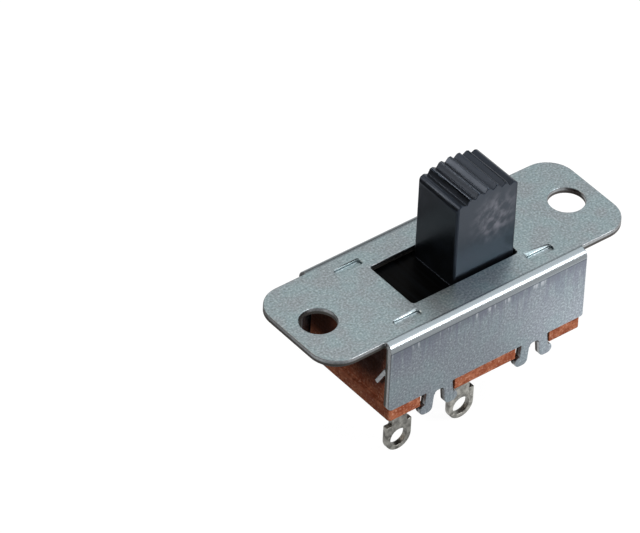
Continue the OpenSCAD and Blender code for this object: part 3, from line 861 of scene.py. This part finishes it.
# %% [markdown]
# ## Contacts: silver rivets and a rolled copper-alloy blade
#
# The fixed contacts are silver-alloy rivets. Silver that has switched a load carries a thin,
# brownish film with cleaner spots. The moving blade is cut from rolled strip, so it shows
# fine lines along its length and a few darker heat tints. Both metals only show when the
# switch is taken apart, and two patterns each are enough for that.

# %% Silver and copper alloy
silver, tree, shader = new_material("silver_contact", Metallic=1.0)
where = add(tree, "TexCoord").outputs["Object"]
film = add(tree, "TexNoise", Vector=where, Scale=per(0.6), Detail=3.0)
fine = add(tree, "TexNoise", Vector=where, Scale=per(0.1), Detail=1.0)
base = toned(tree, film, 0.35, 0.7, "#cfccc4", "#a89c8c")
rough = add(tree, "MapRange", **SMOOTH, Value=film, From_Min=0.3, From_Max=0.7, To_Min=0.22,
            To_Max=0.4)
bumps = add(tree, "Bump", Height=fine, Strength=0.3, Distance=0.005 * MM)
settle(tree, shader, Base_Color=base, Roughness=rough, Normal=bumps)

rolled, tree, shader = new_material("rolled_copper_alloy", Metallic=1.0)
where = add(tree, "TexCoord").outputs["Object"]
along_strip = add(tree, "Mapping", Vector=where, Scale=(0.04, 1, 1))
lines = add(tree, "TexNoise", Vector=along_strip, Scale=per(0.12), Detail=1.0)
tint = add(tree, "TexNoise", Vector=where, Scale=per(1.5), Detail=2.0)
base = toned(tree, lines, 0.3, 0.7, "#b07a4c", "#c79263")
base = toned(tree, tint, 0.5, 0.75, base, "#8a5a3c", most=0.6)
rough = add(tree, "MapRange", **SMOOTH, Value=lines, From_Min=0.3, From_Max=0.7, To_Min=0.28,
            To_Max=0.42)
bumps = add(tree, "Bump", Height=lines, Strength=0.3, Distance=0.005 * MM)
settle(tree, shader, Base_Color=base, Roughness=rough, Normal=bumps)

# %% [markdown]
# ### The rivets and the blade
#
# A rivet is headed in a die and a blade is cut and bent, which leaves very small radii. The
# domes of the rivets are round already in the CAD model and stay as they are.

# %% The rivets and the blade
for name, node in (("rivet_left", "contact_rivet_left"), ("rivet_centre", "contact_rivet_centre")):
    shell = whole_copy(node, evenly)
    round_edges(as_piece(name, shell, node, "silver", silver), radius_mm=0.05)

shell = whole_copy("bridge_contact", evenly)
blade = as_piece("blade", shell, "bridge_contact", "copper_alloy", rolled)
round_edges(blade, radius_mm=0.05)

# %% [markdown]
# ## Springs and ball
#
# A compression spring is one length of drawn wire on a helix, with its first and last turns
# closed against the next one. The CAD spring has eight flat sides. Here a round wire with 24
# sides is carried along the same helix, between the same two heights. A Blender curve with a
# round bevel would give the same tube. Arrays are used because each point then keeps how far
# along the wire and how far round it lies, as a UV map, and the fine lines that the drawing
# die leaves run along the wire.

# %% Spring shapes
WIRE = 0.3          # diameter of the wire, millimetres
TURNS = 5.5         # turns in a spring
CLOSED = 0.8        # turns at each end that lie against the next one
CLOSED_PITCH = 1.1  # rise of a closed turn, in diameters of the wire
WIRE_SIDES = 24
RINGS_PER_TURN = 40


def spring_mesh(name, middle, coil_radius, low, high):
    """A coil spring of round wire about an upright axis. All sizes are millimetres.

    The wire's middle line turns by a = 360 degrees times the turn number t. Its height rises
    by 1.1 wire diameters per turn over the closed turns and evenly between them. Round each
    point of that line the wire's skin is a circle, square to the direction of the line:
    middle + radius * (cos b * outward + sin b * across), where across is the direction of
    travel crossed with the outward direction.
    """
    turn = np.linspace(0, TURNS, int(TURNS * RINGS_PER_TURN) + 1)
    start, end = low + WIRE / 2, high - WIRE / 2
    rise = CLOSED_PITCH * WIRE * CLOSED
    height = np.interp(turn, [0, CLOSED, TURNS - CLOSED, TURNS],
                       [start, start + rise, end - rise, end])
    angle = 2 * np.pi * turn
    outward = np.stack([np.cos(angle), np.sin(angle), np.zeros_like(angle)], axis=1)
    line = coil_radius * outward + np.stack([0 * turn, 0 * turn, height], axis=1)
    travel = np.gradient(line, axis=0)
    travel /= np.linalg.norm(travel, axis=1, keepdims=True)
    across = np.cross(travel, outward)
    b = 2 * np.pi * np.arange(WIRE_SIDES) / WIRE_SIDES
    skin = line[:, None] + WIRE / 2 * (
        np.cos(b)[None, :, None] * outward[:, None] + np.sin(b)[None, :, None] * across[:, None])
    points = (skin.reshape(-1, 3) + [middle[0], middle[1], 0]) * MM
    rings = len(turn)
    i, k = np.meshgrid(np.arange(rings - 1), np.arange(WIRE_SIDES), indexing="ij")
    n = (k + 1) % WIRE_SIDES
    quads = np.stack([i * WIRE_SIDES + k, i * WIRE_SIDES + n, (i + 1) * WIRE_SIDES + n,
                      (i + 1) * WIRE_SIDES + k], axis=-1).reshape(-1, 4)
    first = list(range(WIRE_SIDES))[::-1]
    last = [(rings - 1) * WIRE_SIDES + v for v in range(WIRE_SIDES)]
    mesh = bpy.data.meshes.new(name)
    mesh.from_pydata(points.tolist(), [], quads.tolist() + [first, last])
    length = np.concatenate([[0], np.cumsum(np.linalg.norm(np.diff(line, axis=0), axis=1))])
    along = np.stack([length[i], length[i], length[i + 1], length[i + 1]], axis=-1)
    around = np.stack([k, k + 1, k + 1, k], axis=-1) / WIRE_SIDES
    uv = np.zeros((len(mesh.loops), 2))
    uv[:quads.size, 0], uv[:quads.size, 1] = along.ravel(), around.ravel()
    mesh.uv_layers.new(name="wire").data.foreach_set("uv", uv.ravel())
    mesh.shade_smooth()
    print(name, "wire length", round(float(length[-1]), 1), "mm")
    return mesh


# %% [markdown]
# ### Drawn wire and polished ball
#
# Spring wire is pulled through a die and stays satin, with fine lines along it. A ball is
# lapped until it mirrors, and wears faint lines along the way that it rolls. Both are steel,
# so they differ in their gloss more than in their colour.

# %% Drawn wire and polished ball
# The map is in millimetres along the wire and in turns round it, so a die line comes out
# about 0.6 mm long and a 24th of the way round.
wire_steel, tree, shader = new_material("drawn_spring_wire", Metallic=1.0)
along_wire = add(tree, "Mapping", Vector=add(tree, "UVMap", uv_map="wire"),
                 Scale=(0.4, 6, 1))
die_lines = add(tree, "TexNoise", Vector=along_wire, Scale=4.0, Detail=1.0)
base = toned(tree, die_lines, 0.3, 0.7, "#7d8084", "#9a9da2")
rough = add(tree, "MapRange", **SMOOTH, Value=die_lines, From_Min=0.3, From_Max=0.7,
            To_Min=0.28, To_Max=0.4)
settle(tree, shader, Base_Color=base, Roughness=rough)

ball_steel, tree, shader = new_material("polished_ball_steel", Metallic=1.0)
along_travel = add(tree, "Mapping", Vector=add(tree, "TexCoord").outputs["Object"],
                   Scale=(0.15, 1, 1))
wear = add(tree, "TexNoise", Vector=along_travel, Scale=per(0.2), Detail=1.0)
base = toned(tree, wear, 0.4, 0.7, "#9fa2a6", "#878a8f")
rough = add(tree, "MapRange", **SMOOTH, Value=wear, From_Min=0.4, From_Max=0.75, To_Min=0.1,
            To_Max=0.24)
settle(tree, shader, Base_Color=base, Roughness=rough)

# %% [markdown]
# ### The springs and the ball
#
# Every spring takes its place, its width and its two heights from the box of its CAD node,
# so it fits between the same seats. The ball has no edges to soften, and smooth shading alone
# makes it round.

# %% The springs and the ball
for node in ("contact_spring_left", "contact_spring_right", "detent_spring"):
    low, high = (corner / MM for corner in map(Vector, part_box(node)))
    middle = ((low.x + high.x) / 2, (low.y + high.y) / 2)
    mesh = spring_mesh(node + "_wire", middle, (high.x - low.x - WIRE) / 2, low.z, high.z)
    as_piece(node + "_wire", mesh, node, "spring_steel", wire_steel)

shell = whole_copy("detent_ball", evenly)
as_piece("ball", shell, "detent_ball", "spring_steel", ball_steel)
